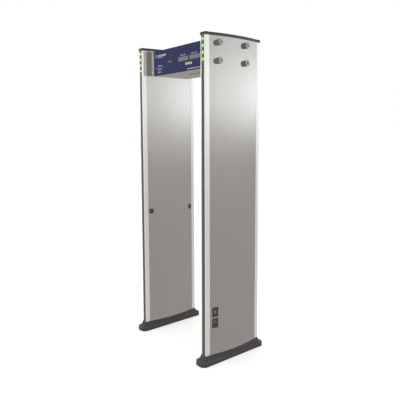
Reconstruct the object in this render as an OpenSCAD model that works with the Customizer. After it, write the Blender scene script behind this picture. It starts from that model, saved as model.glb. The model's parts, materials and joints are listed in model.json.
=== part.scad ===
// Walk-through security gate: two upright sensing panels joined by a control header.
// Millimetres. Origin at floor level midway between the panels; +Z up, +X across the
// passage, the entry side with the control fascia faces -Y.

/* [Gate] */
// Overall height over the top caps
gate_h = 2200; // [2100:10:2300]
// Distance between the centre planes of the two side panels
panel_pitch = 748; // [700:2:860]

/* [Side panels] */
// Depth of a side panel from front edge to rear edge
panel_depth = 489; // [480:1:560]
// Thickness of a panel at its edge profiles
edge_t = 54; // [52:1:60]
// Depth of the aluminium edge profile, seen from the side
edge_band = 34; // [32:0.5:40]
// How far each curved facing stands proud of the edge profiles
bulge = 22; // [18:1:26]
// Thickness of the curved facing sheets
skin_t = 2; // [1.5:0.1:2.5]
// Corner radius of the edge profiles
edge_r = 9; // [6:1:11]

/* [Edge strips and lamps] */
// Width of the dark insert strip
strip_w = 30; // [26:1:30]
// Height of the top lamp above the floor
lamp_z = 2157; // [2145:1:2160]
// Vertical distance between lamps
lamp_pitch = 42.2; // [40:0.2:46]
// Lamps in each column
lamp_count = 4; // [3:1:4]

/* [Caps and feet] */
// Height of a top cap
cap_h = 19; // [18:1:24]
// How far a cap overhangs the panel
cap_lip = 4; // [3:0.5:6]
// Height of a foot, floor to the top of its skirt
foot_h = 66; // [60:1:72]
// Height of the foot's vertical rim
rim_h = 28.5; // [26:0.5:30]
// Width of the rim
rim_w = 102; // [102:1:120]
// How far the rim reaches past the panel at each end
rim_reach = 44; // [40:0.5:50]

/* [Header] */
// Underside of the header above the floor
header_z = 1994; // [1985:1:2000]
// Height of the header
header_h = 182; // [178:1:183]
// Front face of the header, depth coordinate
header_front = -153; // [-158:1:-148]
// Rear face of the header, depth coordinate
header_rear = 151; // [145:1:160]
// Thickness of the blue fascia moulding
fascia_t = 6; // [5:0.5:7]
// Thickness of the steel plate that bolts the header to each panel
plate_t = 3; // [2.5:0.5:4]
// Depth coordinate of the plate's front edge
plate_front = -235; // [-238:1:-225]

/* [Clamp knobs] */
// Centre of the four-knob pattern, depth coordinate
knob_y = -52; // [-56:1:-48]
// Centre height of the four-knob pattern
knob_z = 2078; // [2072:1:2084]
// Knob spacing along the depth
knob_dy = 225; // [215:1:230]
// Knob spacing in height
knob_dz = 115; // [110:1:124]
// Knob diameter
knob_d = 40; // [36:1:46]
// Knob length
knob_l = 46; // [44:1:52]
// Stud diameter
stud_d = 12; // [10:1:12]

/* [Mid-height beam sensors] */
// Height of the sensors above the floor
sensor_z = 955; // [900:1:1000]
// Distance of each sensor from the middle of the panel
sensor_y = 187; // [180:1:190]
// Bezel diameter
sensor_d = 40; // [36:1:42]

/* [Power entry] */
// Depth coordinate of both modules
power_y = -172; // [-178:1:-165]
// Height of the rocker switch module
switch_z = 361; // [356:0.5:380]
// Height of the mains inlet module
inlet_z = 284.5; // [270:0.5:290]
// Width of each module
module_w = 47; // [46:1:48]
// Height of each module
module_h = 66; // [62:1:68]
// Tilt of the rocker to either side of level
rocker_tilt = 8; // [5:1:9]

/* [Hidden] */
big_fn = 360;
mid_fn = 64;
hull_fn = 32;
joint_gap = 0.3;
nothing = 0.01;

half_depth = panel_depth / 2;
half_chord = half_depth - edge_band;
face_r = (half_chord * half_chord + bulge * bulge) / (2 * bulge);
face_cx = edge_t / 2 + bulge - face_r;
cap_z = gate_h - cap_h;
panel_x = panel_pitch / 2;
panel_z0 = 12;
panel_z1 = gate_h - 7;
pad_lift = 1.5;
pad_y = 205;
return_w = 17;
header_top = header_z + header_h;
board_back = header_front + fascia_t + 5;
sheet_t = 2;
lamp_r = 13;
lamps = [for (i = [0:lamp_count - 1]) lamp_z - i * lamp_pitch];
knob_spots = [for (y = [-1, 1], z = [-1, 1]) [knob_y + y * knob_dy / 2, knob_z + z * knob_dz / 2]];
anchor_y = half_depth + 24;
anchor_r = 4.25;
anchor_depth = 25;
core_block_h = 40;
core_mid_z = [480, 1130, 1680];
core_top = [2050, 2150];
winding_z1 = 1950;
display_size = [113, 29];
display_spots = [[41.5, 2082], [171.5, 2083]];
bar_size = [74, 15];
bar_spot = [103.5, 2044];
status_size = [50, 7];
status_spot = [-120.5, 2081];
key_depth = 1.2;
key_spots = [[-250, 2063], [-252, 2040], [-255, 2018], [-295, 2051], [-207, 2051]];
key_sizes = [[60, 14], [60, 14], [60, 14], [14, 14], [14, 14]];
slot_half = 95;
slot_y0 = -26;
slot_y1 = 30;

// ---- shared geometry ----

// Half thickness of a panel at depth coordinate y.
function face_x(y) = face_cx + sqrt(face_r * face_r - y * y);

// The full disc whose rim is the curved face on the +X or -X side of a panel.
module face_disc(side, grow = 0)
    translate([side * face_cx, 0]) circle(r = face_r + grow, $fn = big_fn);

// Rectangle with rounded corners, built from exact arcs.
module rounded_block(w, d, r, fn = mid_fn) {
    square([w - 2 * r, d], center = true);
    square([w, d - 2 * r], center = true);
    for (x = [-1, 1], y = [-1, 1])
        translate([x * (w / 2 - r), y * (d / 2 - r)]) circle(r = r, $fn = fn);
}

// Slot outline, w by d with fully rounded ends along x.
module stadium(w, d) {
    square([w - d, d], center = true);
    for (x = [-1, 1])
        translate([x * (w - d) / 2, 0]) circle(d = d, $fn = mid_fn);
}

// Lens shape between the two curved faces.
module lens(grow = 0, reach = 0)
    intersection() {
        face_disc(1, grow);
        face_disc(-1, grow);
        square([4 * edge_t, 2 * (half_chord + reach)], center = true);
    }

// Outline of a whole panel seen from above.
module panel_plan(grow = 0) {
    rounded_block(edge_t + 2 * grow, panel_depth + 2 * grow, edge_r + grow);
    lens(grow);
}

module layer(z0, z1)
    translate([0, 0, z0]) linear_extrude(z1 - z0) children();

// Places a part drawn for the right-hand panel on the panel of that side.
module at_panel(side)
    if (side > 0)
        translate([panel_x, 0, 0]) children();
    else
        mirror([1, 0, 0]) translate([panel_x, 0, 0]) children();

// Frame on a panel face: z points outwards, x down, y along the face.
module on_face(y, z)
    translate([face_x(y), y, z])
        rotate([0, 0, asin(y / face_r)]) rotate([0, 90, 0]) children();

// A plain cylinder along X from x0 to x1.
module rod_x(r, x0, x1)
    translate([x0, 0, 0]) rotate([0, 90, 0]) cylinder(r = r, h = x1 - x0, $fn = mid_fn);

// A plain cylinder along Y from y0 to y1.
module rod_y(r, y0, y1)
    translate([0, y1, 0]) rotate([90, 0, 0]) cylinder(r = r, h = y1 - y0, $fn = mid_fn);

// A box given by its two opposite corners.
module box(a, b)
    translate(a) cube(b - a);

// ---- feet ----

module foot_slice(z, w, l, r)
    translate([0, 0, z]) linear_extrude(0.1) rounded_block(w, l, r, hull_fn);

module foot_skirt() {
    foot_l = panel_depth + 2 * rim_reach;
    top_w = edge_t + 4;
    steps = [[rim_h, rim_w - 8, foot_l - 10, 36], [rim_h + 7, 84, foot_l - 38, 30],
             [rim_h + 18, 70, foot_l - 62, 22], [foot_h - 0.1, top_w, panel_depth + 4, 11]];
    for (i = [0:2])
        hull() {
            foot_slice(steps[i][0], steps[i][1], steps[i][2], steps[i][3]);
            foot_slice(steps[i + 1][0], steps[i + 1][1], steps[i + 1][2], steps[i + 1][3]);
        }
}

module pad_outline()
    for (y = [-1, 1])
        translate([0, y * pad_y]) rounded_block(70, 90, 12);

module foot(side)
    color("#4b484c") at_panel(side) difference() {
        union() {
            layer(pad_lift, rim_h - 3.5) rounded_block(rim_w, panel_depth + 2 * rim_reach, 38);
            layer(rim_h - 3.5, rim_h - 2) rounded_block(rim_w - 3, panel_depth + 2 * rim_reach - 3, 37);
            layer(rim_h - 2, rim_h) rounded_block(rim_w - 1, panel_depth + 2 * rim_reach - 1, 37);
            layer(rim_h, foot_h) lens(2);
            foot_skirt();
        }
        layer(panel_z0, gate_h) panel_plan(joint_gap);
        layer(0, pad_lift + 3) pad_outline();
        for (y = [-1, 1])
            translate([0, y * anchor_y, 0])
                cylinder(r = anchor_r, h = pad_lift + anchor_depth, $fn = mid_fn);
    }

module floor_pads()
    color("#26262a") for (side = [-1, 1])
        at_panel(side) layer(0, pad_lift + 3) pad_outline();

// ---- side panels ----

// Cross-section of the front edge profile; the rear one is its mirror image.
module edge_section() {
    wall = 2.5;
    channel_w = strip_w + 0.4;
    channel_d = 4;
    lip = edge_t / 2 - skin_t - 0.8;
    mid_y = -half_depth + edge_band / 2;
    difference() {
        union() {
            difference() {
                translate([0, mid_y]) union() {
                    translate([0, edge_r / 2]) square([edge_t, edge_band - edge_r], center = true);
                    translate([0, -edge_band / 2 + edge_r / 2])
                        square([edge_t - 2 * edge_r, edge_r], center = true);
                    for (x = [-1, 1])
                        translate([x * (edge_t / 2 - edge_r), -edge_band / 2 + edge_r])
                            circle(r = edge_r, $fn = mid_fn);
                }
                translate([0, mid_y])
                    rounded_block(edge_t - 2 * wall, edge_band - 2 * wall, edge_r - wall);
            }
            translate([-channel_w / 2 - wall, -half_depth + 1])
                square([channel_w + 2 * wall, channel_d + wall - 1]);
            translate([-wall / 2, -half_depth + channel_d]) square([wall, edge_band - channel_d - wall]);
            translate([0, mid_y]) circle(r = 6, $fn = mid_fn);
            for (x = [-lip, lip - wall])
                translate([x, -half_chord - wall]) square([wall, 12]);
        }
        translate([-channel_w / 2, -half_depth - 1]) square([channel_w, channel_d + 1]);
        translate([0, mid_y]) circle(r = 2.5, $fn = mid_fn);
    }
}

// Room cut in a front edge profile for the lamp circuit board and its lamps.
module lamp_board_room()
    for (z = lamps)
        translate([0, 0, z]) rod_y(7, -half_depth, -half_depth + 9);

module front_edge(side)
    color("#c9c9cb") at_panel(side) difference() {
        layer(panel_z0, panel_z1) edge_section();
        lamp_board_room();
        box([-14, -half_depth + 6.4, lamps[lamp_count - 1] - 20], [14, -half_depth + 9, lamp_z + 20]);
    }

module rear_edge(side)
    color("#c9c9cb") at_panel(side) mirror([0, 1, 0]) layer(panel_z0, panel_z1) edge_section();

// One curved sheet on the +X side of a panel.
module facing_sheet()
    layer(panel_z0, panel_z1) intersection() {
        difference() {
            face_disc(1);
            face_disc(1, -skin_t);
        }
        translate([0, -half_chord + 0.8]) square([2 * edge_t, 2 * half_chord - 1.6]);
    }

module stud_holes(r)
    for (p = knob_spots)
        translate([0, p[0], p[1]]) rod_x(r, 0, 2 * edge_t);

module outer_facing(side)
    color("#a8a6a2") at_panel(side) difference() {
        facing_sheet();
        stud_holes(stud_d / 2 + 0.5);
        if (side > 0)
            for (z = [switch_z, inlet_z])
                on_face(power_y, z) cube([module_h - 8, module_w - 8, 20], center = true);
    }

module inner_facing(side)
    color("#a8a6a2") at_panel(side) mirror([1, 0, 0]) difference() {
        facing_sheet();
        stud_holes(stud_d / 2 + 0.5);
        for (y = [-sensor_y, sensor_y])
            on_face(y, sensor_z) cylinder(r = sensor_d / 2 - 6.8, h = 20, center = true, $fn = mid_fn);
    }

module strip_bar()
    box([-strip_w / 2, -half_depth + 1.2, foot_h - 20], [strip_w / 2, -half_depth + 4, cap_z + 10]);

module front_strip(side)
    color("#464347") at_panel(side) difference() {
        strip_bar();
        for (z = lamps)
            translate([0, 0, z]) rod_y(lamp_r, -half_depth, -half_depth + 5);
    }

module rear_strips()
    color("#464347") for (side = [-1, 1])
        at_panel(side) mirror([0, 1, 0]) strip_bar();

module lamp_lens() {
    rim_t = 2.8;
    translate([0, -half_depth + 4, 0]) rotate([90, 0, 0]) rotate_extrude($fn = mid_fn)
        intersection() {
            translate([0, -31.8]) circle(r = 36, $fn = 128);
            square([lamp_r, rim_t + 2]);
        }
}

module lamp_lenses()
    color("#58b04c") for (side = [-1, 1], z = lamps)
        at_panel(side) translate([0, 0, z]) lamp_lens();

module lamp_boards()
    color("#2f6b43") for (side = [-1, 1])
        at_panel(side) {
            box([-13, -half_depth + 6.6, lamps[lamp_count - 1] - 18],
                [13, -half_depth + 8.2, lamp_z + 18]);
            for (z = lamps)
                translate([0, 0, z]) rod_y(2.5, -half_depth + 4.4, -half_depth + 6.6);
        }

// ---- top caps ----

module cap_screw_spots()
    for (y = [-1, 1])
        translate([0, y * (half_depth - edge_band / 2), 0]) children();

module top_cap(side)
    color("#4b484c") at_panel(side) difference() {
        union() {
            layer(cap_z, cap_z + 5) panel_plan(cap_lip);
            layer(cap_z + 5, cap_z + 6.5) panel_plan(cap_lip - 1.2);
            layer(cap_z + 6.5, cap_z + 12) panel_plan(cap_lip);
            layer(cap_z + 12, cap_z + 13.5) panel_plan(cap_lip - 1.2);
            layer(cap_z + 13.5, gate_h - 2) panel_plan(cap_lip);
            layer(gate_h - 2, gate_h - 0.8) panel_plan(cap_lip - 0.8);
            layer(gate_h - 0.8, gate_h) panel_plan(cap_lip - 2.4);
        }
        layer(cap_z - 1, panel_z1) panel_plan(joint_gap);
        cap_screw_spots() {
            translate([0, 0, panel_z1 - 1]) cylinder(r = 2.8, h = 10, $fn = mid_fn);
            translate([0, 0, gate_h - 3.6]) cylinder(r = 5.5, h = 5, $fn = mid_fn);
        }
    }

module cap_screws()
    color("#b8b8b8") for (side = [-1, 1])
        at_panel(side) cap_screw_spots() difference() {
            union() {
                translate([0, 0, gate_h - 26]) cylinder(r = 2.5, h = 24, $fn = mid_fn);
                translate([0, 0, gate_h - 3.6]) cylinder(r = 5, h = 2.8, $fn = mid_fn);
            }
            translate([0, 0, gate_h - 2]) cylinder(r = 1.8, h = 5, $fn = 6);
        }

// ---- inside the side panels ----

// Room in the foam for the windings, the power modules and what crosses the panel.
module core_clearances(foam_z0) {
    box([-6, -170, foam_z0 - 1], [6, 170, winding_z1 + 20]);
    for (p = knob_spots)
        translate([0, p[0], p[1]]) rod_x(11, -edge_t, edge_t);
    mirror([1, 0, 0]) for (y = [-sensor_y, sensor_y])
        on_face(y, sensor_z) cylinder(r = sensor_d / 2 - 2, h = 80, center = true, $fn = mid_fn);
}

// Rigid foam between the facings: cross blocks at several heights tied to a top and a bottom block.
module foam_core(side, foam_z0)
    color("#d9d3bd") at_panel(side) difference() {
        union() {
            for (z = concat([foam_z0], core_mid_z))
                layer(z, z + core_block_h) lens(-skin_t - joint_gap, -14);
            layer(core_top[0], core_top[1]) lens(-skin_t - joint_gap, -14);
        }
        core_clearances(foam_z0);
        box([-10.2, -190, foam_z0 - 1], [10.2, 190, winding_z1 + 20]);
    }

// One coil winding in the centre plane of a panel, between two heights.
module winding(z0, z1)
    rotate([90, 0, 90]) translate([0, (z0 + z1) / 2, -5]) linear_extrude(10) difference() {
        rounded_block(330, z1 - z0, 60);
        rounded_block(298, z1 - z0 - 32, 44);
    }

module transmit_winding()
    color("#b5703a") at_panel(-1) winding(150, winding_z1);

module receive_windings()
    color("#b5703a") at_panel(1) for (z = [[450, 940], [955, 1445], [1460, winding_z1]])
        winding(z[0], z[1]);

// ---- beam sensors on the walk-through faces ----

module sensor_places(side)
    at_panel(side) mirror([1, 0, 0]) for (y = [-sensor_y, sensor_y])
        on_face(y, sensor_z) children();

module beam_bezels()
    color("#33302f") for (side = [-1, 1]) sensor_places(side) rotate_extrude($fn = mid_fn)
        polygon([[9, -18], [sensor_d / 2 - 7, -18], [sensor_d / 2 - 7, 0.3], [sensor_d / 2, 0.3],
                 [sensor_d / 2, 1.8], [sensor_d / 2 - 1.5, 3.2], [12.5, 3.2], [10, 1.6], [9, 1.6]]);

module beam_lenses()
    color("#4a4042") for (side = [-1, 1]) sensor_places(side) union() {
        translate([0, 0, -14]) cylinder(r = 8.95, h = 15.6, $fn = mid_fn);
        translate([0, 0, 1.6]) rotate_extrude($fn = mid_fn) intersection() {
            translate([0, -17.5]) circle(r = 19.6, $fn = 128);
            square([8.95, 5]);
        }
    }

// ---- header fixing: curved end plates, studs, sleeves, washers and knobs ----

module end_plate(side)
    color("#b9bbbc") at_panel(side) mirror([1, 0, 0]) difference() {
        layer(header_z, header_top) {
            intersection() {
                difference() {
                    face_disc(1, plate_t);
                    face_disc(1);
                }
                translate([0, -half_chord]) square([2 * edge_t, half_chord + header_rear]);
            }
            translate([edge_t / 2, plate_front]) square([plate_t, -half_chord - plate_front]);
            intersection() {
                difference() {
                    face_disc(1, 2 * plate_t);
                    face_disc(1);
                }
                translate([0, header_front - return_w]) square([2 * edge_t, return_w]);
            }
        }
        stud_holes(stud_d / 2);
    }

module header_studs()
    color("#c2c2c0") for (side = [-1, 1], p = knob_spots)
        at_panel(side) translate([0, p[0], p[1]])
            rod_x(stud_d / 2, -face_x(p[0]) - plate_t + 0.6, face_x(p[0]) + 34);

module stud_sleeves()
    color("#9a9c9e") for (side = [-1, 1], p = knob_spots)
        at_panel(side) intersection() {
            translate([0, p[0], p[1]]) difference() {
                rod_x(10, -edge_t, edge_t);
                rod_x(stud_d / 2 + 0.2, -edge_t - 1, edge_t + 1);
            }
            layer(header_z, header_top) lens(-skin_t);
        }

// Distance from the panel's centre plane to the seat of the knob at depth y.
function knob_seat(y) = face_x(abs(y) - 24) + 2.5;

module knob_washers()
    color("#5c5957") for (side = [-1, 1], p = knob_spots)
        at_panel(side) difference() {
            translate([0, p[0], p[1]]) difference() {
                rod_x(knob_d / 2 - 0.5, 10, knob_seat(p[0]));
                rod_x(stud_d / 2 + 0.3, 0, 2 * edge_t);
            }
            layer(header_z, header_top) face_disc(1);
        }

// A turned knob with a raised light end disc and a shallow centre recess; drawn along +Z.
module knob_body() {
    r = knob_d / 2;
    rotate_extrude($fn = 96)
        polygon([[stud_d / 2 + 0.05, 0], [r - 1.5, 0], [r - 0.5, 1], [r, 4], [r, knob_l - 3],
                 [r - 1, knob_l - 2.2], [r - 2.4, knob_l - 2], [r - 3, knob_l], [r - 9, knob_l],
                 [r - 10, knob_l - 1], [6.5, knob_l - 1.6], [4.5, knob_l - 5], [0, knob_l - 5],
                 [0, 36], [stud_d / 2 + 0.05, 36]]);
}

module knob(side, i) {
    p = knob_spots[i - 1];
    color("#66625e") at_panel(side) translate([knob_seat(p[0]) + 0.1, p[0], p[1]])
        rotate([0, 90, 0]) difference() {
            knob_body();
            for (a = [0:30:330])
                rotate([0, 0, a]) translate([knob_d / 2 + 1.6, 0, 5])
                    cylinder(r = 2.4, h = knob_l - 11, $fn = 24);
        }
}

// ---- header case ----

// Plan region between the two end plates, from depth y0 to depth y1.
module header_plan(y0, y1, gap = 0.2)
    difference() {
        translate([-panel_x, y0]) square([2 * panel_x, y1 - y0]);
        for (side = [-1, 1])
            translate([side * panel_x, 0]) face_disc(-side, plate_t + gap);
    }

module header_tray() {
    front = header_front + fascia_t;
    color("#bcbbb7") difference() {
        union() {
            layer(header_z, header_z + sheet_t) header_plan(front, header_rear);
            layer(header_z, header_top - sheet_t) header_plan(header_rear - sheet_t, header_rear);
            layer(header_z, header_top - sheet_t) header_plan(front, front + sheet_t);
        }
        translate([0, (slot_y0 + slot_y1) / 2, header_z - 1])
            linear_extrude(sheet_t + 2) stadium(2 * slot_half, slot_y1 - slot_y0);
        for (i = [0:len(display_spots) - 1])
            fascia_window(display_spots[i], display_size, 1, 2 * fascia_t);
        fascia_window(bar_spot, bar_size, 1, 2 * fascia_t);
        fascia_window(status_spot, status_size, 1, 2 * fascia_t);
        for (i = [0:len(key_spots) - 1])
            fascia_window(key_spots[i], key_sizes[i], 2, 2 * fascia_t);
        lid_screw_places() rod_y(2, header_rear - 9, header_rear + 1);
    }
}

module header_lid()
    color("#bcbbb7") difference() {
        union() {
            layer(header_top - sheet_t, header_top) header_plan(header_front + fascia_t, header_rear);
            for (y = [header_front + fascia_t + sheet_t + joint_gap,
                      header_rear - 2 * sheet_t - joint_gap])
                layer(header_top - 14, header_top - sheet_t + nothing) header_plan(y, y + sheet_t, 4);
        }
        lid_screw_places() rod_y(2, header_rear - 9, header_rear + 1);
    }

// Places of the screws that hold the lid, on the rear wall of the tray.
module lid_screw_places()
    for (x = [-240, -80, 80, 240])
        translate([x, 0, header_top - 9]) children();

module lid_screws()
    color("#b8b8b8") lid_screw_places() {
        rod_y(2, header_rear - 9, header_rear);
        difference() {
            rod_y(4, header_rear, header_rear + 2.2);
            rod_y(1.5, header_rear + 1, header_rear + 3);
        }
    }

// Trough over the slot in the underside of the header.
module slot_liner()
    color("#8c8c8e") translate([0, (slot_y0 + slot_y1) / 2, header_z + sheet_t]) difference() {
        linear_extrude(16) stadium(2 * slot_half + 12, slot_y1 - slot_y0 + 12);
        translate([0, 0, -1]) linear_extrude(14) stadium(2 * slot_half, slot_y1 - slot_y0);
    }

// A rectangular opening through the front of the header, centred on a spot of the fascia.
module fascia_window(spot, size, grow, deep)
    translate([spot[0], header_front - 1 + deep / 2, spot[1]])
        cube([size[0] + 2 * grow, deep, size[1] + 2 * grow], center = true);

module fascia()
    color("#3a3c5f") difference() {
        layer(header_z, header_top) header_plan(header_front, header_front + fascia_t);
        for (spot = display_spots)
            fascia_window(spot, display_size, 0, 3 * fascia_t);
        fascia_window(bar_spot, bar_size, 0, 3 * fascia_t);
        fascia_window(status_spot, status_size, 0, 3 * fascia_t);
        for (i = [0:len(key_spots) - 1])
            fascia_window(key_spots[i], key_sizes[i], joint_gap, 3 * fascia_t);
    }

// A flat clear insert that fills an opening of the fascia.
module fascia_insert(spot, size, face, t)
    translate([spot[0], header_front + face + t / 2, spot[1]])
        cube([size[0] - 0.1, t, size[1] - 0.1], center = true);

module display_windows()
    color("#84808a") for (spot = display_spots)
        fascia_insert(spot, display_size, 0.6, 2.4);

module display_modules()
    color("#3b3b3b") for (spot = display_spots) {
        fascia_insert(spot, display_size, 3.2, 4.8);
        fascia_insert(spot, display_size + [8, 8], fascia_t + sheet_t + 0.2, 1.6);
    }

module level_bar()
    color("#b4e68c") union() {
        for (i = [-2:2])
            fascia_insert(bar_spot + [i * 15.6, 0], [11.7, bar_size[1]], 0.4, 3);
        fascia_insert(bar_spot, bar_size, 3.2, 3);
    }

module status_lens()
    color("#8fa85a") fascia_insert(status_spot, status_size, -0.4, 5);

module control_board() {
    back = board_back;
    color("#2f6b43") union() {
        box([-318, back, header_z + 8], [240, back + 1.6, header_z + 82]);
        box([-180, back + 1.5, header_z + 30], [-120, back + 14, header_z + 60]);
        box([-40, back + 1.5, header_z + 20], [-5, back + 4, header_z + 55]);
        box([60, back + 1.5, header_z + 16], [150, back + 22, header_z + 34]);
        for (x = [-100, -78, 180, 200])
            translate([x, 0, header_z + 45]) rod_y(8, back + 1.5, back + 20);
    }
}

module sounder()
    color("#1f1f21") translate([-240, board_back + 1.6, header_z + 45]) rotate([-90, 0, 0]) difference() {
        cylinder(r = 18, h = 14, $fn = mid_fn);
        translate([0, 0, 11]) cylinder(r = 4, h = 4, $fn = mid_fn);
    }

// Push key: a pad in the fascia, a retaining flange behind it and a stem to its contact.
module push_key(i) {
    spot = key_spots[i];
    size = key_sizes[i];
    back = header_front + fascia_t;
    color("#4a5078") union() {
        translate([spot[0], header_front - key_depth, spot[1]]) rotate([-90, 0, 0])
            linear_extrude(fascia_t + key_depth + 0.4) rounded_block(size[0], size[1], 2.5);
        translate([spot[0], back + 1, spot[1]])
            cube([size[0] + 2.4, 1.4, size[1] + 2.4], center = true);
        translate([spot[0], 0, spot[1]]) rod_y(2.5, back + 1.5, board_back - 1.3);
    }
}

// ---- power entry ----

module power_place(z)
    at_panel(1) on_face(power_y, z) children();

module power_bezel()
    linear_extrude(2.7) rounded_block(module_h, module_w, 3);

module switch_frame()
    color("#3a373b") power_place(switch_z) translate([0, 0, joint_gap]) difference() {
        union() {
            power_bezel();
            translate([0, 0, -10]) cube([module_h - 9, module_w - 9, 20], center = true);
        }
        translate([0, 0, -6]) cube([24, 18.6, 22], center = true);
        translate([0, 0, -3.3]) rod_y(1.55, -12, 12);
    }

module rocker()
    color("#b03038") power_place(switch_z) translate([0, 0, -3]) rotate([0, rocker_tilt, 0]) union() {
        translate([0, 9, 0]) rotate([90, 0, 0]) linear_extrude(18)
            polygon([[-10.2, -3], [-10.2, 6.6], [-8.6, 7.1], [0, 5.2], [8.6, 7.1],
                     [10.2, 6.6], [10.2, -3], [3.5, -8], [-3.5, -8]]);
        rod_y(1.5, -11.7, 11.7);
    }

// The three contact blades of the inlet: their mouth end and the terminal behind.
module blade_places()
    for (spot = [[-12.5, 0], [-6.5, -7], [-6.5, 7]])
        translate([spot[0], spot[1], 0]) children();

// Three-pin appliance inlet over a slot for the fuse drawer.
module inlet_body()
    color("#343135") power_place(inlet_z) difference() {
        union() {
            translate([0, 0, joint_gap]) power_bezel();
            translate([0, 0, -14]) cube([module_h - 9, module_w - 9, 28.8], center = true);
        }
        translate([-9, 0, -8]) cube([20, 28, 26], center = true);
        translate([16, 0, -8]) cube([13, 27, 26], center = true);
        blade_places() cube([4, 2, 80], center = true);
    }

module inlet_blades()
    color("#b9b2a0") power_place(inlet_z) blade_places() {
        translate([0, 0, -20]) cube([4, 2, 26], center = true);
        translate([0, 0, -33.6]) cube([6, 1, 10], center = true);
    }

module fuse_drawer()
    color("#2a282b") power_place(inlet_z) translate([16, 0, 0]) union() {
        translate([0, 0, -8]) cube([12.4, 26.4, 23], center = true);
        translate([0, 0, 3.6]) cube([5, 16, 1.2], center = true);
    }

// Encapsulated supply that turns the mains into the low voltage for the coils and the header.
module power_supply()
    color("#57595c") at_panel(1) intersection() {
        difference() {
            box([-edge_t, -132, 190], [-8, -12, 370]);
            for (z = [210:12:350])
                box([-16, -120, z], [0, -24, z + 5]);
        }
        layer(0, gate_h) lens(-skin_t - joint_gap);
    }

// ---- assembly ----

foot(-1);  // foot_left
foot(1);  // foot_right
floor_pads();
front_edge(-1);  // front_edge_left
front_edge(1);  // front_edge_right
rear_edge(-1);  // rear_edge_left
rear_edge(1);  // rear_edge_right
outer_facing(-1);  // outer_facing_left
outer_facing(1);  // outer_facing_right
inner_facing(-1);  // inner_facing_left
inner_facing(1);  // inner_facing_right
front_strip(-1);  // front_strip_left
front_strip(1);  // front_strip_right
rear_strips();
lamp_lenses();
lamp_boards();
top_cap(-1);  // top_cap_left
top_cap(1);  // top_cap_right
cap_screws();
foam_core(-1, 100);  // foam_core_left
foam_core(1, 400);  // foam_core_right
transmit_winding();
receive_windings();
beam_bezels();
beam_lenses();
end_plate(-1);  // end_plate_left
end_plate(1);  // end_plate_right
header_studs();
stud_sleeves();
knob_washers();
lid_screws();
knob(-1, 1);  // knob_left_1
knob(-1, 2);  // knob_left_2
knob(-1, 3);  // knob_left_3
knob(-1, 4);  // knob_left_4
knob(1, 1);  // knob_right_1
knob(1, 2);  // knob_right_2
knob(1, 3);  // knob_right_3
knob(1, 4);  // knob_right_4
header_tray();
header_lid();
slot_liner();
fascia();
display_windows();
display_modules();
level_bar();
status_lens();
control_board();
sounder();
push_key(0);  // key_program
push_key(1);  // key_access
push_key(2);  // key_operate
push_key(3);  // key_back
push_key(4);  // key_forward
switch_frame();
rocker();
inlet_body();
inlet_blades();
fuse_drawer();
power_supply();
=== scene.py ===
"""Looks of a walk-through security gate: materials, printed graphics, lamps, camera and studio."""
import json
import math

import bmesh
import bpy
from mathutils import Matrix, Vector


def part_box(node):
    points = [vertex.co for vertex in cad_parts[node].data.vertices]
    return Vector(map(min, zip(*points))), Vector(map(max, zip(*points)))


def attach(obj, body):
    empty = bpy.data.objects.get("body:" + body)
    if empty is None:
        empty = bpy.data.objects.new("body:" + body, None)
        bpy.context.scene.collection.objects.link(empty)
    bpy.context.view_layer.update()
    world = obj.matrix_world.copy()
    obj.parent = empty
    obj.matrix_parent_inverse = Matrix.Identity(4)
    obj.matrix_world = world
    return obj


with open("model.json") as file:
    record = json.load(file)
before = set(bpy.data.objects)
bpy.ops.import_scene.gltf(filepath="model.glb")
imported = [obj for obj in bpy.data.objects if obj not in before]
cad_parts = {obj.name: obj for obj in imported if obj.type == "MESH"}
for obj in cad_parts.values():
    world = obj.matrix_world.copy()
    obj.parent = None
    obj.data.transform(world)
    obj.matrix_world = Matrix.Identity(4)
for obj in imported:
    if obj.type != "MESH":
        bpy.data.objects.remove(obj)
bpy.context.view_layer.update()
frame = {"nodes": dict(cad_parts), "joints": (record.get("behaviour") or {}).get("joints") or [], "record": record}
NODES = frame["nodes"]
MM = 0.001
SIDES = ("left", "right")


# ---- camera, world and studio ----

# The camera's place is in metres, its turns in radians, and its lens and sensor in millimetres.
EYE = Vector((2.7406, -2.1568, 1.5674))
YAW, PITCH, ROLL = 0.8978, -0.1012, -0.0038
LENS, SENSOR = 42.24, 36.0
SHIFT_Y = -0.05


def make_camera():
    forward = Vector((-math.sin(YAW) * math.cos(PITCH), math.cos(YAW) * math.cos(PITCH), math.sin(PITCH)))
    level = Vector((math.cos(YAW), math.sin(YAW), 0))
    above = level.cross(forward)
    right = math.cos(ROLL) * level + math.sin(ROLL) * above
    up = right.cross(forward)
    data = bpy.data.cameras.new("camera")
    data.lens = LENS
    data.sensor_width = SENSOR
    data.shift_y = SHIFT_Y
    data.clip_end = 200
    camera = bpy.data.objects.new("camera", data)
    turn = Matrix((right, up, -forward)).transposed().to_4x4()
    camera.matrix_world = Matrix.Translation(EYE) @ turn
    bpy.context.scene.collection.objects.link(camera)
    bpy.context.scene.camera = camera


# Brightness of the surroundings by the sine of the direction's height: a pale band at eye level.
BAND = (
    (-0.030, 0.00), (0.000, 0.12), (0.031, 0.80), (0.072, 1.00),
    (0.120, 0.80), (0.165, 0.30), (0.45, 0.22), (1.0, 0.36),
)
BAND_RGB = (1.36, 1.36, 1.37)
GROUND_RGB = (0.445, 0.425, 0.400)
# The band is brightest towards this azimuth, and never falls below a share of that.
BAND_AZIMUTH = math.radians(75)
AZIMUTH_SHARE = 0.74
AZIMUTH_FLOOR = 0.62
# Towards -X the studio brightens by up to this share, at this rate.
FAR_SIDE_GAIN = 0.30
FAR_SIDE_SLOPE = 1.25


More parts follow.
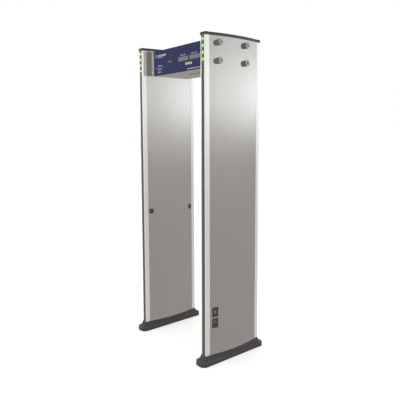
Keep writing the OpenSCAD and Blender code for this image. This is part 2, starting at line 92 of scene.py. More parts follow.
def make_world():
    """A studio all round the object; the camera itself sees plain white behind it."""
    world = bpy.data.worlds.new("studio")
    bpy.context.scene.world = world
    world.use_nodes = True
    tree = world.node_tree
    tree.nodes.clear()

    def node(kind, values=(), **settings):
        n = tree.nodes.new(kind)
        for key, value in settings.items():
            setattr(n, key, value)
        for socket, value in zip(n.inputs, values):
            if isinstance(value, bpy.types.NodeSocket):
                tree.links.new(value, socket)
            else:
                socket.default_value = value
        return n

    def calc(operation, *values, clamp=False):
        return node("ShaderNodeMath", values, operation=operation, use_clamp=clamp).outputs[0]

    direction = node("ShaderNodeTexCoord").outputs["Generated"]
    x, y, z = node("ShaderNodeSeparateXYZ", (direction,)).outputs
    ramp = node("ShaderNodeValToRGB", (calc("MULTIPLY_ADD", z, 0.5, 0.5),))
    ramp.color_ramp.interpolation = "B_SPLINE"
    stops = ramp.color_ramp.elements
    for i, (height, value) in enumerate(BAND):
        stop = stops[i] if i < 2 else stops.new(0.5 + height / 2)
        stop.position = 0.5 + height / 2
        stop.color = (value, value, value, 1)
    along = calc("MULTIPLY_ADD", y, math.sin(BAND_AZIMUTH), calc("MULTIPLY", x, math.cos(BAND_AZIMUTH)))
    side = calc("MAXIMUM", calc("MULTIPLY_ADD", along, AZIMUTH_SHARE, 1 - AZIMUTH_SHARE), AZIMUTH_FLOOR)
    band = node("ShaderNodeVectorMath", (BAND_RGB,), operation="SCALE")
    tree.links.new(calc("MULTIPLY", ramp.outputs[0], side), band.inputs["Scale"])
    light = node("ShaderNodeVectorMath", (band.outputs[0], GROUND_RGB), operation="ADD")
    gain = calc("MULTIPLY_ADD", calc("MULTIPLY", x, -FAR_SIDE_SLOPE, clamp=True), FAR_SIDE_GAIN, 1.0)
    surroundings = node("ShaderNodeBackground", (light.outputs[0], gain))
    backdrop = node("ShaderNodeBackground", ((1, 1, 1, 1), 1.0))
    camera_ray = node("ShaderNodeLightPath").outputs["Is Camera Ray"]
    pick = node("ShaderNodeMixShader", (camera_ray, surroundings.outputs[0], backdrop.outputs[0]))
    node("ShaderNodeOutputWorld", (pick.outputs[0],))


def make_floor():
    bm = bmesh.new()
    bmesh.ops.create_circle(bm, cap_ends=True, radius=30, segments=96)
    floor = add_object("floor", bm)
    paint = Paint("floor_pale", (0.93, 0.93, 0.93), 0.85)
    grain = paint.noise(3.0, 3)
    paint.colour(grain, (0.92, 0.92, 0.92), (0.95, 0.95, 0.95))
    paint.fixed({"Emission Color": (1, 1, 1, 1), "Emission Strength": 0.42, "Specular IOR Level": 0.1})
    floor.data.materials.append(paint.material)
    floor.visible_glossy = False


def make_lights():
    softbox("softbox_front", (-1.6, -5.2, 3.6), (3.6, 2.4), 30)
    softbox("softbox_side", (4.8, 1.2, 4.4), (3.0, 2.0), 12)
    for side, x in zip(SIDES, PANEL_X):
        for z in LAMPS_Z:
            glow = bpy.data.lights.new(f"lamp_glow_{side}", "POINT")
            glow.energy = 0.005
            glow.color = (0.25, 1.0, 0.2)
            glow.shadow_soft_size = 0.008
            lamp = bpy.data.objects.new(glow.name, glow)
            lamp.location = (x, STRIP_Y - 0.016, z)
            lamp.visible_glossy = False
            bpy.context.scene.collection.objects.link(lamp)


def softbox(name, place, size, power):
    data = bpy.data.lights.new(name, "AREA")
    data.shape = "RECTANGLE"
    data.size, data.size_y = size
    data.energy = power
    light = bpy.data.objects.new(name, data)
    light.location = place
    light.rotation_euler = (Vector((0, 0, 1.2)) - Vector(place)).to_track_quat("-Z", "Y").to_euler()
    light.visible_camera = False
    light.visible_glossy = False
    bpy.context.scene.collection.objects.link(light)


# ---- materials ----

# Most of a noise texture's values lie between these two.
NOISE_LOW, NOISE_HIGH = 0.3, 0.7


class Paint:
    """One procedural material: a Principled shader and the nodes that feed it."""

    def __init__(self, name, rgb, rough, metal=0.0):
        self.material = bpy.data.materials.new(name)
        self.material.use_nodes = True
        self.tree = self.material.node_tree
        self.shader = self.tree.nodes["Principled BSDF"]
        self.place = self.tree.nodes.new("ShaderNodeTexCoord").outputs["Object"]
        self.normal = None
        self.fixed({"Base Color": (*rgb, 1), "Roughness": rough, "Metallic": metal})

    def fixed(self, values):
        for key, value in values.items():
            self.shader.inputs[key].default_value = value

    def link(self, source, socket):
        self.tree.links.new(source, socket)

    def node(self, kind, values=None, **settings):
        n = self.tree.nodes.new(kind)
        for key, value in settings.items():
            setattr(n, key, value)
        for key, value in (values or {}).items():
            if isinstance(value, bpy.types.NodeSocket):
                self.link(value, n.inputs[key])
            else:
                n.inputs[key].default_value = value
        return n

    def stretched(self, scale):
        return self.node("ShaderNodeMapping", {"Vector": self.place, "Scale": scale}).outputs[0]

    def noise(self, scale, detail=2.0, stretch=(1, 1, 1)):
        return self.node("ShaderNodeTexNoise", {"Vector": self.stretched(stretch), "Scale": scale,
                                                "Detail": detail}).outputs["Fac"]

    def cells(self, scale):
        return self.node("ShaderNodeTexVoronoi", {"Vector": self.place, "Scale": scale}).outputs["Distance"]

    def remap(self, source, low, high, to_low=0.0, to_high=1.0):
        return self.node("ShaderNodeMapRange", {"Value": source, "From Min": low, "From Max": high,
                                                "To Min": to_low, "To Max": to_high}).outputs[0]

    def calc(self, operation, a, b=0.0):
        return self.node("ShaderNodeMath", {0: a, 1: b}, operation=operation).outputs[0]

    def blend(self, factor, low, high):
        mix = self.node("ShaderNodeMix", {0: factor}, data_type="RGBA")
        for index, value in ((6, low), (7, high)):
            if isinstance(value, bpy.types.NodeSocket):
                self.link(value, mix.inputs[index])
            else:
                mix.inputs[index].default_value = (*value, 1)
        return mix.outputs[2]

    def colour(self, factor, low, high):
        result = self.blend(factor, low, high)
        self.link(result, self.shader.inputs["Base Color"])
        return result

    def rough(self, factor, low, high):
        self.link(self.remap(factor, NOISE_LOW, NOISE_HIGH, low, high), self.shader.inputs["Roughness"])

    def bump(self, height, strength, distance):
        values = {"Height": height, "Strength": strength, "Distance": distance}
        if self.normal is not None:
            values["Normal"] = self.normal
        self.normal = self.node("ShaderNodeBump", values).outputs[0]
        self.link(self.normal, self.shader.inputs["Normal"])

    def soft_edges(self, radius):
        self.normal = self.node("ShaderNodeBevel", {"Radius": radius}, samples=4).outputs[0]
        self.link(self.normal, self.shader.inputs["Normal"])

    def edges(self, radius):
        """1 on the edges of the shape, 0 on its open faces."""
        rounded = self.node("ShaderNodeBevel", {"Radius": radius}, samples=4).outputs[0]
        plain = self.node("ShaderNodeNewGeometry").outputs["Normal"]
        likeness = self.node("ShaderNodeVectorMath", {0: rounded, 1: plain}, operation="DOT_PRODUCT")
        return self.remap(likeness.outputs["Value"], 0.99, 0.80)

    def coordinate(self, axis):
        return self.node("ShaderNodeSeparateXYZ", {0: self.place}).outputs[axis]

    def face_along(self, axis):
        """1 where the surface faces along the axis, either way."""
        normal = self.node("ShaderNodeTexCoord").outputs["Normal"]
        part = self.node("ShaderNodeSeparateXYZ", {0: normal}).outputs[axis]
        return self.remap(self.calc("ABSOLUTE", part), 0.90, 0.97)

    def glow(self, colour, strength):
        self.fixed({"Emission Strength": strength})
        if isinstance(colour, bpy.types.NodeSocket):
            self.link(colour, self.shader.inputs["Emission Color"])
        else:
            self.fixed({"Emission Color": (*colour, 1)})


def scaled(rgb, k):
    return tuple(c * k for c in rgb)


def moulded_plastic(name, rgb, rough, grain=900.0, depth=0.5, edge_wear_and_highlight=0.0):
    """Moulded plastic with a spark-eroded grain, slight clouding and paler edges that are partly wear and partly a
    painted highlight.
    """
    p = Paint(name, rgb, rough)
    cloud = p.noise(7, 3)
    tone = p.colour(cloud, scaled(rgb, 0.82), scaled(rgb, 1.2))
    # Paler, patchy edges: partly wear and partly a painted highlight along rims and ridges.
    if edge_wear_and_highlight:
        edge = p.edges(0.0022)
        patches = p.remap(p.noise(45, 4), 0.35, 0.7, 0.45 * edge_wear_and_highlight, edge_wear_and_highlight)
        pale_edges = p.calc("MULTIPLY", edge, patches)
        p.colour(pale_edges, tone, tuple(min(1, 2.6 * c + 0.02) for c in rgb))
    p.rough(p.noise(28, 3), rough - 0.07, rough + 0.07)
    p.soft_edges(0.0009)
    p.bump(p.cells(grain), depth, 0.00025)
    return p


def brushed_metal(name, rgb, rough, lines, across=260.0, streak=0.08, depth=0.12):
    """Metal with fine brush lines along one axis, in tone, gloss and relief, and faint handling marks."""
    p = Paint(name, rgb, rough, 1.0)
    line_stretch = 0.012
    stretch = tuple(line_stretch if i == lines else 1.0 for i in range(3))
    fine = p.noise(across * 4, 3, stretch)
    broad = p.noise(across * 0.35, 3, stretch)
    cloud = p.noise(2.2, 4)
    mixed = p.calc("ADD", p.calc("MULTIPLY", fine, 0.6), p.calc("MULTIPLY", broad, 0.4))
    tone = p.blend(p.remap(mixed, NOISE_LOW, NOISE_HIGH), scaled(rgb, 1 - streak), scaled(rgb, 1 + streak))
    p.colour(p.remap(cloud, 0.35, 0.7, 0.0, 0.25), tone, scaled(rgb, 0.93))
    handled = p.calc("ADD", p.calc("MULTIPLY", mixed, 0.7), p.calc("MULTIPLY", cloud, 0.3))
    p.rough(handled, rough - 0.05, rough + 0.06)
    p.soft_edges(0.0006)
    p.bump(fine, depth, 0.00012)
    return p


def cap_plastic():
    return moulded_plastic("cap_plastic", (0.042, 0.037, 0.045), 0.38, edge_wear_and_highlight=0.9)


def pad_rubber():
    return moulded_plastic("pad_rubber", (0.030, 0.030, 0.032), 0.82, 1400, 0.8)


def edge_aluminium():
    """Smooth anodised profile: fine die lines along its length, almost no clouding."""
    p = Paint("edge_aluminium", (0.91, 0.915, 0.92), 0.26, 0.60)
    lines = p.noise(900, 2, (1, 1, 0.004))
    cloud = p.noise(1.5, 2)
    tone = p.blend(lines, (0.90, 0.905, 0.91), (0.93, 0.935, 0.94))
    # Paler along the edges: a painted highlight.
    p.colour(p.calc("MULTIPLY", p.edges(0.0010), 0.4), tone, (0.97, 0.97, 0.97))
    p.rough(cloud, 0.24, 0.29)
    p.soft_edges(0.0006)
    p.bump(lines, 0.02, 0.0001)
    return p


def facing_sheet():
    return brushed_metal("facing_sheet", (0.605, 0.602, 0.598), 0.20, 1, 700, 0.03, 0.05)


def strip_plastic():
    return moulded_plastic("strip_plastic", (0.062, 0.056, 0.064), 0.42, 1600, 0.25)


def lamp_green():
    """Green dome, lit from within, with a fine moulded pattern."""
    p = Paint("lamp_green", (0.05, 0.30, 0.06), 0.18)
    facets = p.cells(1100)
    green = p.colour(p.remap(facets, 0.1, 0.6), (0.09, 0.40, 0.07), (0.05, 0.26, 0.045))
    p.glow(green, 0.60)
    p.fixed({"Coat Weight": 0.6, "Coat Roughness": 0.08})
    p.bump(facets, 0.15, 0.0004)
    return p


def circuit_board():
    p = Paint("circuit_board", (0.05, 0.22, 0.09), 0.35)
    tracks = p.node("ShaderNodeTexBrick", {
        "Vector": p.place, "Scale": 55.0, "Mortar Size": 0.03, "Mortar": (0.09, 0.36, 0.16, 1),
        "Color1": (0.04, 0.20, 0.08, 1), "Color2": (0.05, 0.24, 0.10, 1)})
    p.link(tracks.outputs["Color"], p.shader.inputs["Base Color"])
    p.rough(p.noise(60), 0.28, 0.45)
    p.bump(p.noise(400), 0.2, 0.0002)
    return p


def screw_steel():
    return brushed_metal("screw_steel", (0.60, 0.60, 0.58), 0.30, 2, 500, 0.10, 0.15)


def panel_foam():
    p = Paint("panel_foam", (0.75, 0.70, 0.55), 0.9)
    bubbles = p.cells(420)
    p.colour(bubbles, (0.60, 0.55, 0.42), (0.80, 0.75, 0.60))
    p.rough(p.noise(50), 0.82, 0.95)
    p.bump(bubbles, 0.8, 0.001)
    return p


def copper_winding():
    p = Paint("copper_winding", (0.60, 0.30, 0.14), 0.32, 1.0)
    turns = p.noise(500, 1, (1, 1, 0.02))
    p.colour(turns, (0.42, 0.18, 0.07), (0.72, 0.38, 0.18))
    p.rough(p.noise(80), 0.25, 0.4)
    p.bump(turns, 0.7, 0.0008)
    return p


def sensor_black():
    return moulded_plastic("sensor_black", (0.030, 0.027, 0.030), 0.30, 1200, 0.2, 0.25)


def sensor_lens():
    p = Paint("sensor_lens", (0.070, 0.055, 0.060), 0.12)
    haze = p.noise(90, 4)
    p.colour(haze, (0.050, 0.038, 0.044), (0.085, 0.070, 0.076))
    p.rough(haze, 0.08, 0.2)
    p.fixed({"Coat Weight": 0.5, "Coat Roughness": 0.05})
    p.bump(p.noise(700), 0.05, 0.0002)
    return p


def header_steel():
    return brushed_metal("header_steel", (0.39, 0.385, 0.375), 0.30, 0, 260, 0.06, 0.12)


def plate_steel():
    """End plates: pale brushed steel, with painted shade: a dark band between the pale front flange and the pale
    return beside the fascia.
    """
    p = brushed_metal("plate_steel", (0.25, 0.25, 0.25), 0.30, 2, 240, 0.07, 0.12)
    y = p.coordinate(1)
    return_depth = 0.017
    flange_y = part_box("inner_facing_left")[0].y
    return_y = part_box("fascia")[0].y - return_depth
    # Painted shade: the plate is darkened between the front flange and the return beside the header.
    painted_shade_band = p.calc("MULTIPLY", p.remap(y, flange_y - 0.001, flange_y + 0.001),
                 p.remap(y, return_y + 0.0005, return_y - 0.0005))
    grain = p.noise(900, 3, (1, 1, 0.012))
    pale = p.blend(grain, (0.385, 0.388, 0.390), (0.455, 0.458, 0.460))
    p.colour(painted_shade_band, pale, (0.200, 0.196, 0.190))
    return p


def knob_plastic():
    """Dark turned body with worn ridges, and painted light: the end faces, which look along the knob's axis, are
    made pale.
    """
    rgb = (0.110, 0.100, 0.092)
    p = Paint("knob_plastic", rgb, 0.42)
    cloud = p.noise(60, 3)
    body = p.blend(cloud, scaled(rgb, 0.8), scaled(rgb, 1.25))
    pale_edges = p.calc("MULTIPLY", p.edges(0.0012), p.remap(p.noise(120, 3), 0.35, 0.7, 0.05, 0.5))
    ridged = p.blend(pale_edges, body, (0.26, 0.25, 0.235))
    # Painted light: faces along the knob's axis, its end faces, are coloured pale, as if lit.
    p.colour(p.face_along(0), ridged, (0.44, 0.44, 0.42))
    p.rough(cloud, 0.34, 0.5)
    p.soft_edges(0.0006)
    p.bump(p.noise(500, 2, (0.1, 1, 1)), 0.2, 0.0003)
    return p


def liner_plastic():
    return moulded_plastic("liner_plastic", (0.030, 0.027, 0.028), 0.55)


def liner_grey():
    return moulded_plastic("liner_grey", (0.30, 0.295, 0.29), 0.50, 900, 0.3, 0.2)


def fascia_blue():
    """Printed polycarbonate overlay: deep blue with a darker border and a fine leather grain."""
    lo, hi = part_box("fascia")
    p = Paint("fascia_blue", (0.020, 0.022, 0.072), 0.36)
    blue = p.blend(p.noise(5, 3), (0.019, 0.023, 0.088), (0.023, 0.028, 0.100))
    border, fade = 0.012, 0.002
    x, z = p.coordinate(0), p.coordinate(2)
    middle_z = (lo.z + hi.z) / 2
    half_x = (hi.x - lo.x) / 2 - border
    half_z = (hi.z - lo.z) / 2 - border / 2
    out_x = p.remap(p.calc("ABSOLUTE", x), half_x, half_x + fade)
    out_z = p.remap(p.calc("ABSOLUTE", p.calc("SUBTRACT", z, middle_z)), half_z, half_z + fade)
    p.colour(p.calc("MAXIMUM", out_x, out_z), blue, (0.010, 0.013, 0.072))
    p.rough(p.noise(40, 3), 0.30, 0.42)
    p.fixed({"Specular IOR Level": 0.12})
    p.soft_edges(0.0008)
    p.bump(p.cells(1300), 0.18, 0.0002)
    return p


def display_window():
    """Smoked display glass with the unlit character cells showing through as fine upright bars."""
    p = Paint("display_window", (0.20, 0.185, 0.215), 0.25)
    cells_per_metre = 69.0
    cell = p.calc("FRACT", p.calc("MULTIPLY", p.coordinate(0), cells_per_metre))
    bars = p.remap(p.calc("ABSOLUTE", p.calc("SUBTRACT", cell, 0.5)), 0.20, 0.30)
    p.colour(bars, (0.19, 0.185, 0.215), (0.060, 0.056, 0.080))
    p.rough(p.noise(60), 0.18, 0.3)
    p.fixed({"Coat Weight": 0.3, "Coat Roughness": 0.1})
    p.bump(bars, 0.1, 0.0002)
    return p


def bar_green():
    """Lit segments with dark gaps between them."""
    segment_pitch = 0.0156
    lit_half = 0.375  # half of a segment's lit share of its pitch
    middle_at = 10.5  # the bar's middle, in pitches: whole ones keep the fraction positive
    lo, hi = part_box("level_bar")
    p = Paint("bar_green", (0.35, 0.75, 0.22), 0.3)
    bead = p.cells(260)
    lit = p.blend(p.remap(bead, 0.05, 0.6), (0.34, 0.56, 0.20), (0.25, 0.46, 0.15))
    across = p.calc("MULTIPLY", p.calc("SUBTRACT", p.coordinate(0), (lo.x + hi.x) / 2), 1 / segment_pitch)
    segment = p.calc("FRACT", p.calc("ADD", across, middle_at))
    offset = p.calc("ABSOLUTE", p.calc("SUBTRACT", segment, 0.5))
    green = p.colour(p.remap(offset, lit_half - 0.03, lit_half), lit, (0.012, 0.030, 0.030))
    p.glow(green, 0.45)
    p.bump(bead, 0.1, 0.0003)
    return p


def status_lens():
    """Tri-colour indicator: green to amber to red along its length."""
    lo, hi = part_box("status_lens")
    p = Paint("status_lens", (0.35, 0.42, 0.12), 0.3)
    ramp = p.node("ShaderNodeValToRGB", {"Fac": p.remap(p.coordinate(0), lo.x, hi.x)})
    stops = ramp.color_ramp.elements
    stops[0].position, stops[0].color = 0.0, (0.03, 0.05, 0.13, 1)
    stops[1].position, stops[1].color = 1.0, (0.06, 0.05, 0.14, 1)
    for position, rgb in ((0.22, (0.05, 0.14, 0.08)), (0.42, (0.20, 0.26, 0.07)), (0.60, (0.32, 0.25, 0.08)),
                          (0.80, (0.30, 0.05, 0.045))):
        stops.new(position).color = (*rgb, 1)
    p.link(ramp.outputs[0], p.shader.inputs["Base Color"])
    p.rough(p.noise(80), 0.22, 0.36)
    p.bump(p.cells(500), 0.1, 0.0002)
    return p


def key_pad():
    return moulded_plastic("key_pad", (0.050, 0.056, 0.140), 0.40, 1300, 0.2)


def module_black():
    return moulded_plastic("module_black", (0.036, 0.033, 0.038), 0.40, 1100, 0.35, 0.35)


def rocker_red():
    """Clear red plastic, deep red in the hollow, with a painted highlight: paler on the ridges and edges."""
    p = Paint("rocker_red", (0.42, 0.030, 0.045), 0.22)
    cloud = p.noise(50, 3)
    red = p.blend(cloud, (0.36, 0.022, 0.036), (0.50, 0.040, 0.060))
    # Painted highlight: the edges are blended towards pale pink.
    p.colour(p.calc("MULTIPLY", p.edges(0.0012), 0.5), red, (0.75, 0.20, 0.25))
    p.rough(cloud, 0.16, 0.3)
    p.fixed({"Coat Weight": 0.6, "Coat Roughness": 0.08, "Subsurface Weight": 0.15})
    p.soft_edges(0.0006)
    p.bump(p.noise(600), 0.04, 0.0002)
    return p


def contact_metal():
    return brushed_metal("contact_metal", (0.40, 0.37, 0.32), 0.35, 2, 600, 0.08, 0.1)


def supply_case():
    return moulded_plastic("supply_case", (0.09, 0.095, 0.10), 0.6)


def printed_ink(name, rgb):
    """Screen-printed ink: slightly patchy tone and a dry, faintly raised surface."""
    p = Paint(name, rgb, 0.55)
    patch = p.noise(160, 3)
    p.colour(patch, scaled(rgb, 0.88), scaled(rgb, 1.08))
    p.rough(patch, 0.48, 0.62)
    p.bump(p.noise(1500), 0.12, 0.0001)
    return p


def lamp_core():
    p = Paint("lamp_core", (0.75, 0.95, 0.70), 0.3)
    spark = p.cells(900)
    light = p.colour(spark, (0.95, 1.0, 0.90), (0.72, 0.98, 0.62))
    p.glow(light, 1.5)
    p.bump(spark, 0.05, 0.0002)
    return p


def gasket_rubber():
    return moulded_plastic("gasket_rubber", (0.16, 0.155, 0.15), 0.7, 1500, 0.5)


def dress_nodes():
    """Every CAD node takes the material named after its slot; the end plates have their own steel."""
    makers = (cap_plastic, pad_rubber, edge_aluminium, facing_sheet, strip_plastic, lamp_green, circuit_board,
              screw_steel, panel_foam, copper_winding, sensor_black, sensor_lens, header_steel, knob_plastic,
              liner_plastic, liner_grey, fascia_blue, display_window, bar_green, status_lens, key_pad,
              module_black, rocker_red, contact_metal, supply_case)
    made = {maker.__name__: maker().material for maker in makers}
    plate = plate_steel().material
    for part in frame["record"]["subparts"]:
        node = NODES[part["node"]]
        node.data.materials.clear()
        is_plate = part["node"].startswith("end_plate")
        node.data.materials.append(plate if is_plate else made[part["material_slot"]])
        node.visible_glossy = False


# ---- geometry helpers ----

def add_object(name, bm):
    mesh = bpy.data.meshes.new(name)
    bm.to_mesh(mesh)
    bm.free()
    made = bpy.data.objects.new(name, mesh)
    bpy.context.scene.collection.objects.link(made)
    return made


def add_piece(name, bm, paint, body="gate", smooth=True):
    bmesh.ops.recalc_face_normals(bm, faces=bm.faces)
    made = add_object(name, bm)
    made.data.materials.append(paint.material)
    if smooth:
        made.data.polygons.foreach_set("use_smooth", [True] * len(made.data.polygons))
        made.data.set_sharp_from_angle(angle=math.radians(40))
    made.visible_glossy = False
    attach(made, body)
    return made


def add_prism(bm, outline, place, thickness):
    """A plate with a bevelled front rim; place turns (u, v, depth) into a point, depth 0 at the front."""
    n = len(outline)
    centre_u = sum(u for u, v in outline) / n
    centre_v = sum(v for u, v in outline) / n
    inset, rim_share = 0.94, 0.3
    rings = []
    for shrink, depth in ((inset, 0.0), (1.0, rim_share * thickness), (1.0, thickness)):
        ring = []
        for u, v in outline:
            ring_u = centre_u + (u - centre_u) * shrink
            ring_v = centre_v + (v - centre_v) * shrink
            ring.append(bm.verts.new(place(ring_u, ring_v, depth)))
        rings.append(ring)
    for lower, upper in zip(rings, rings[1:]):
        for i in range(n):
            j = (i + 1) % n
            bm.faces.new((lower[i], lower[j], upper[j], upper[i]))
    bm.faces.new(rings[0])
    bm.faces.new(list(reversed(rings[-1])))


def rounded_rectangle(u, v, width, height, radius, steps=5, slant=0.0):
    """Outline of a rectangle with round corners, leaning by slant per unit of height."""
    radius = min(radius, width / 2, height / 2)
    points = []
    for k, (su, sv) in enumerate(((1, 1), (-1, 1), (-1, -1), (1, -1))):
        for i in range(steps + 1):
            a = math.pi / 2 * (k + i / steps)
            pv = sv * (height / 2 - radius) + radius * math.sin(a)
            pu = su * (width / 2 - radius) + radius * math.cos(a)
            points.append((u + pu + slant * pv, v + pv))
    return points


def arc_band(u, v, r_in, r_out, start, end, steps=16):
    """Outline of a flat arc between two radii."""
    angles = [math.radians(start + (end - start) * i / steps) for i in range(steps + 1)]
    outer = [(u + r_out * math.cos(a), v + r_out * math.sin(a)) for a in angles]
    inner = [(u + r_in * math.cos(a), v + r_in * math.sin(a)) for a in reversed(angles)]
    return outer + inner


# ---- places that come from the frame ----

PANEL_X = [sum(c.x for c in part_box(f"front_strip_{side}")) / 2 for side in SIDES]
STRIP_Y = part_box("front_strip_left")[0].y
EDGE_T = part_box("front_edge_right")[1].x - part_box("front_edge_right")[0].x
FASCIA_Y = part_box("fascia")[0].y
HEADER_Z = (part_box("fascia")[0].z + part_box("fascia")[1].z) / 2


def lamp_heights():
    """Centre heights of the lamps, from the highest to the lowest."""
    heights = sorted({round(v.co.z, 5) for v in NODES["lamp_lenses"].data.vertices}, reverse=True)
    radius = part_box("lamp_lenses")[1].x - PANEL_X[1]
    groups = [[heights[0]]]
    for z in heights[1:]:
        if groups[-1][0] - z > 2.2 * radius:  # more than a lens below the group's top
            groups.append([z])
        else:
            groups[-1].append(z)
    return [(g[0] + g[-1]) / 2 for g in groups]


LAMPS_Z = lamp_heights()
INK_T = 0.35 * MM


def on_front(y):
    """The place function of a print on the upright face at y."""
    return lambda u, v, depth: Vector((u, y - INK_T + depth, v))


on_fascia = on_front(FASCIA_Y)


def fascia_print(name, outlines, paint):
    bm = bmesh.new()
    for outline in outlines:
        add_prism(bm, outline, on_fascia, INK_T)
    add_piece(name, bm, paint)


# ---- printed graphics of the fascia ----

def box_centre(node):
    """Centre (x, z) of a node, seen from the front."""
    lo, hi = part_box(node)
    return (lo.x + hi.x) / 2, (lo.z + hi.z) / 2


def window_centre(index):
    """Centre (x, z) of the left (0) or right (1) display window; one node holds both."""
    middle_x, middle_z = box_centre("display_windows")
    xs = [v.co.x for v in NODES["display_windows"].data.vertices]
    part = [x for x in xs if (x > middle_x) == (index == 1)]
    return (min(part) + max(part)) / 2, middle_z


def title_mark(paint):
    """A generic pictogram of a gate, then two rows of rounded bars in place of a title."""
    left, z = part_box("fascia")[0].x + 0.034, HEADER_Z + 0.051
    icon = [rounded_rectangle(left + du, z, 0.005, 0.026, 0.001) for du in (-0.010, 0.010)]
    icon.append(rounded_rectangle(left, z + 0.0115, 0.015, 0.004, 0.001))
    fascia_print("title_pictogram", icon, paint)
    gap = 0.0035
    bars, u = [], left + 0.024
    for width in (0.018, 0.011, 0.014, 0.011, 0.020, 0.013):
        bars.append(rounded_rectangle(u + width / 2, z + 0.002, width, 0.015, 0.003, slant=0.15))
        u += width + gap
    bars.append(rounded_rectangle(left + 0.060, z - 0.0115, 0.072, 0.003, 0.0012))
    fascia_print("title_bars", bars, paint)


def dashes(u0, u1, v, height, widths, gap):
    """A row of dashes from u0 up to u1, with the widths taken in turn."""
    made, u, i = [], u0, 0
    while u + widths[i % len(widths)] <= u1:
        width = widths[i % len(widths)]
        made.append(rounded_rectangle(u + width / 2, v, width, height, height / 3))
        u += width + gap
        i += 1
    return made


def display_captions(paint):
    half_length, lift, height, gap = 0.034, 0.0255, 0.0052, 0.0028
    widths = (0.009, 0.006, 0.012, 0.007)
    for i in range(2):
        x, z = window_centre(i)
        row = dashes(x - half_length, x + half_length, z + lift, height, widths, gap)
        fascia_print(f"display_caption_{i + 1}", row, paint)


def caption_strip(paint):
    x0 = box_centre("level_bar")[0] - 0.014
    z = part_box("fascia")[0].z + 0.012
    length, height, gap = 0.205, 0.0075, 0.003
    widths = (0.012, 0.007, 0.009, 0.015, 0.006)
    fascia_print("caption_strip", dashes(x0, x0 + length, z, height, widths, gap), paint)


def display_frames(paint):
    """A thin printed frame round each display window and round the level bar."""
    bm = bmesh.new()
    spots = [(window_centre(i), (0.119, 0.033)) for i in range(2)]
    spots.append((box_centre("level_bar"), (0.080, 0.020)))
    line = 0.0012
    for (x, z), (w, h) in spots:
        strokes = ((0, h / 2, w, line), (0, -h / 2, w, line), (w / 2, 0, line, h), (-w / 2, 0, line, h))
        for du, dv, stroke_w, stroke_h in strokes:
            outline = rounded_rectangle(x + du, z + dv, stroke_w, stroke_h, line / 2)
            add_prism(bm, outline, on_fascia, INK_T)
    add_piece("window_frames", bm, paint)


def status_marks(paint):
    """Two small arcs, one at each end of the indicator."""
    lo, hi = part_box("status_lens")
    z = box_centre("status_lens")[1]
    inward, r_in, r_out = 0.004, 0.0085, 0.0097
    ends = ((hi.x - inward, -60, 60), (lo.x + inward, 120, 240))
    arcs = [arc_band(x, z, r_in, r_out, start, end) for x, start, end in ends]
    fascia_print("status_arcs", arcs, paint)


def key_labels(paint):
    """Bars on the three long keys and a triangle on each of the two arrow keys, riding on the keys."""
    bar_h, bar_r, gap = 0.0065, 0.002, 0.003
    rows = dict(key_program=(0.020, 0.012, 0.010), key_access=(0.012, 0.016, 0.012),
                key_operate=(0.014, 0.016))
    for key, widths in rows.items():
        x, z = box_centre(key)
        total = sum(widths) + gap * (len(widths) - 1)
        bm, u = bmesh.new(), x - total / 2
        for width in widths:
            bar = rounded_rectangle(u + width / 2, z, width, bar_h, bar_r)
            add_prism(bm, bar, on_front(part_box(key)[0].y), INK_T)
            u += width + gap
        add_piece(f"label_{key}", bm, paint, key)
    tip, tail = 0.0042, 0.0028
    for key, way in (("key_back", -1), ("key_forward", 1)):
        x, z = box_centre(key)
        triangle = [(x + way * tip, z), (x - way * tail, z + tip), (x - way * tail, z - tip)]
        bm = bmesh.new()
        add_prism(bm, triangle, on_front(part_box(key)[0].y), INK_T)
        add_piece(f"label_{key}", bm, paint, key)


# ---- small fitted pieces ----

def add_dome(bm, base, axis, across, radius, height, segments=28, rings=5):
    """A shallow dome whose rim is a circle round base."""
    other = axis.cross(across)
    previous = None
    for k in range(rings):
        a = math.pi / 2 * k / rings
        ring = [bm.verts.new(base + axis * (height * math.sin(a)) + radius * math.cos(a) *
                             (across * math.cos(t) + other * math.sin(t)))
                for t in (2 * math.pi * i / segments for i in range(segments))]
        if previous:
            for i in range(segments):
                j = (i + 1) % segments
                bm.faces.new((previous[i], previous[j], ring[j], ring[i]))
        else:
            bm.faces.new(ring)
        previous = ring
    top = bm.verts.new(base + axis * height)
    for i in range(segments):
        bm.faces.new((previous[i], previous[(i + 1) % segments], top))


def lamp_hearts(paint):
    """The lit chip seen through each lamp lens."""
    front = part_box("lamp_lenses")[0].y
    sunk, radius, height = 0.0006, 0.0034, 0.0012
    outward, across = Vector((0, -1, 0)), Vector((1, 0, 0))
    for side, x in zip(SIDES, PANEL_X):
        bm = bmesh.new()
        for z in LAMPS_Z:
            add_dome(bm, Vector((x, front + sunk, z)), outward, across, radius, height)
        add_piece(f"lamp_hearts_{side}", bm, paint)


def knob_plugs(paint):
    """A dark three-lobed plug in the end of each knob."""
    radius, lobe, lobes, steps = 0.0040, 0.0011, 3, 36
    sunk, length = 0.0014, 0.0030
    outline = []
    for k in range(steps):
        a = 2 * math.pi * k / steps
        r = radius + lobe * math.cos(lobes * a)
        outline.append((r * math.cos(a), r * math.sin(a)))
    for sign, side in zip((-1, 1), SIDES):
        for i in range(1, 5):
            name = f"knob_{side}_{i}"
            lo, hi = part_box(name)
            end = hi.x if sign > 0 else lo.x
            y, z = (lo.y + hi.y) / 2, (lo.z + hi.z) / 2
            bm = bmesh.new()
            add_prism(bm, outline, lambda u, v, d: Vector((end - sign * (sunk + d), y + u, z + v)), length)
            add_piece(f"plug_{name}", bm, paint, name)


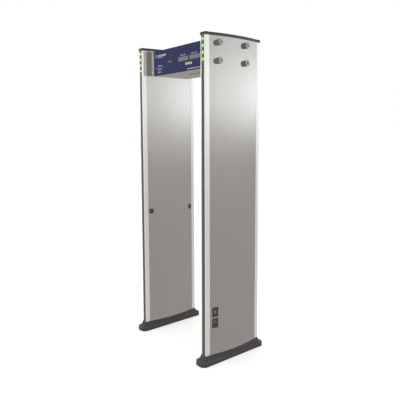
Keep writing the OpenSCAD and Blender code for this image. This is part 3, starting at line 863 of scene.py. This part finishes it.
def facing_gaskets(paint):
    """A slim bead in the seam between each facing sheet and the edge profiles."""
    tuck, outside, sunk, radius = 0.004, 0.0004, 0.0002, 0.0009
    for side, x in zip(SIDES, PANEL_X):
        bm = bmesh.new()
        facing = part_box(f"outer_facing_{side}")
        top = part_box(f"top_cap_{side}")[0].z + tuck
        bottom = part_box(f"foot_{side}")[1].z - tuck
        for sx in (-1, 1):
            for y in (facing[0].y - outside, facing[1].y + outside):
                base = Vector((x + sx * (EDGE_T / 2 - sunk), y, bottom))
                add_rod(bm, base, top - bottom, radius)
        add_piece(f"facing_gaskets_{side}", bm, paint)


def rear_edge_bead(paint):
    """A slim dark bead along the lower rear edge of the header, between the end plates."""
    half_w, height, drop, end_gap = 0.0016, 0.0030, 0.0012, 0.015
    lo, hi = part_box("header_tray")
    outline = [(-half_w, 0.0), (half_w, 0.0), (half_w, height), (-half_w, height)]

    def place(u, v, depth):
        return Vector((lo.x + end_gap + depth, hi.y - half_w + u, lo.z - drop + v))

    bm = bmesh.new()
    add_prism(bm, outline, place, hi.x - lo.x - 2 * end_gap)
    add_piece("rear_edge_bead", bm, paint, smooth=False)


def add_rod(bm, base, height, radius, segments=10):
    rings = [[bm.verts.new(base + Vector((radius * math.cos(t), radius * math.sin(t), z)))
              for t in (2 * math.pi * i / segments for i in range(segments))] for z in (0, height)]
    for i in range(segments):
        j = (i + 1) % segments
        bm.faces.new((rings[0][i], rings[0][j], rings[1][j], rings[1][i]))
    bm.faces.new(list(reversed(rings[0])))
    bm.faces.new(rings[1])


def rocker_marks(paint):
    """The usual bar and ring of a mains switch, moulded on the two ends of the rocker."""
    rest_tilt = math.radians(8)  # half of the joint's range
    slope = math.atan2(1.9, 8.6)  # each half of the rocker rises this much towards its end
    mark_reach, face_height = 0.0046, 0.0062
    proud, thickness = 0.00025, 0.0006
    joint = next(j for j in frame["joints"] if j["name"] == "rocker_tilt")
    axis = Vector(joint["axis"]).normalized()
    pivot = Vector(joint["pos_m"])
    upright = Vector((0, 0, 1))
    outward = axis.cross(upright).normalized()
    down = (-upright * math.cos(rest_tilt) - outward * math.sin(rest_tilt)).normalized()
    normal = (outward * math.cos(rest_tilt) - upright * math.sin(rest_tilt)).normalized()
    for name, way, outline in (("rocker_ring", -1, arc_band(0, 0, 0.0015, 0.0022, 0, 350, 24)),
                               ("rocker_bar", 1, rounded_rectangle(0, 0, 0.0045, 0.0009, 0.0004))):
        along = (down * way * math.cos(slope) + normal * math.sin(slope)).normalized()
        face = axis.cross(along).normalized()
        if face.dot(outward) < 0:
            face = -face
        centre = pivot + normal * face_height + down * way * mark_reach
        bm = bmesh.new()
        add_prism(bm, outline, lambda u, v, d: centre + axis * u + along * v + face * (proud - d), thickness)
        add_piece(name, bm, paint, "rocker")


def make_pieces():
    ink = printed_ink("ink_pale", (0.40, 0.46, 0.62))
    dim_ink = printed_ink("ink_dim", (0.085, 0.095, 0.20))
    faint_ink = printed_ink("ink_faint", (0.17, 0.19, 0.31))
    white_ink = printed_ink("ink_white", (0.75, 0.70, 0.70))
    dark = moulded_plastic("plug_black", (0.045, 0.042, 0.040), 0.45, 1200, 0.3)
    title_mark(ink)
    display_captions(ink)
    caption_strip(ink)
    display_frames(dim_ink)
    status_marks(faint_ink)
    key_labels(ink)
    lamp_hearts(lamp_core())
    knob_plugs(dark)
    facing_gaskets(gasket_rubber())
    rear_edge_bead(dark)
    rocker_marks(white_ink)


bpy.context.scene.view_settings.view_transform = "Standard"
make_camera()
make_world()
make_floor()
make_lights()
dress_nodes()
make_pieces()
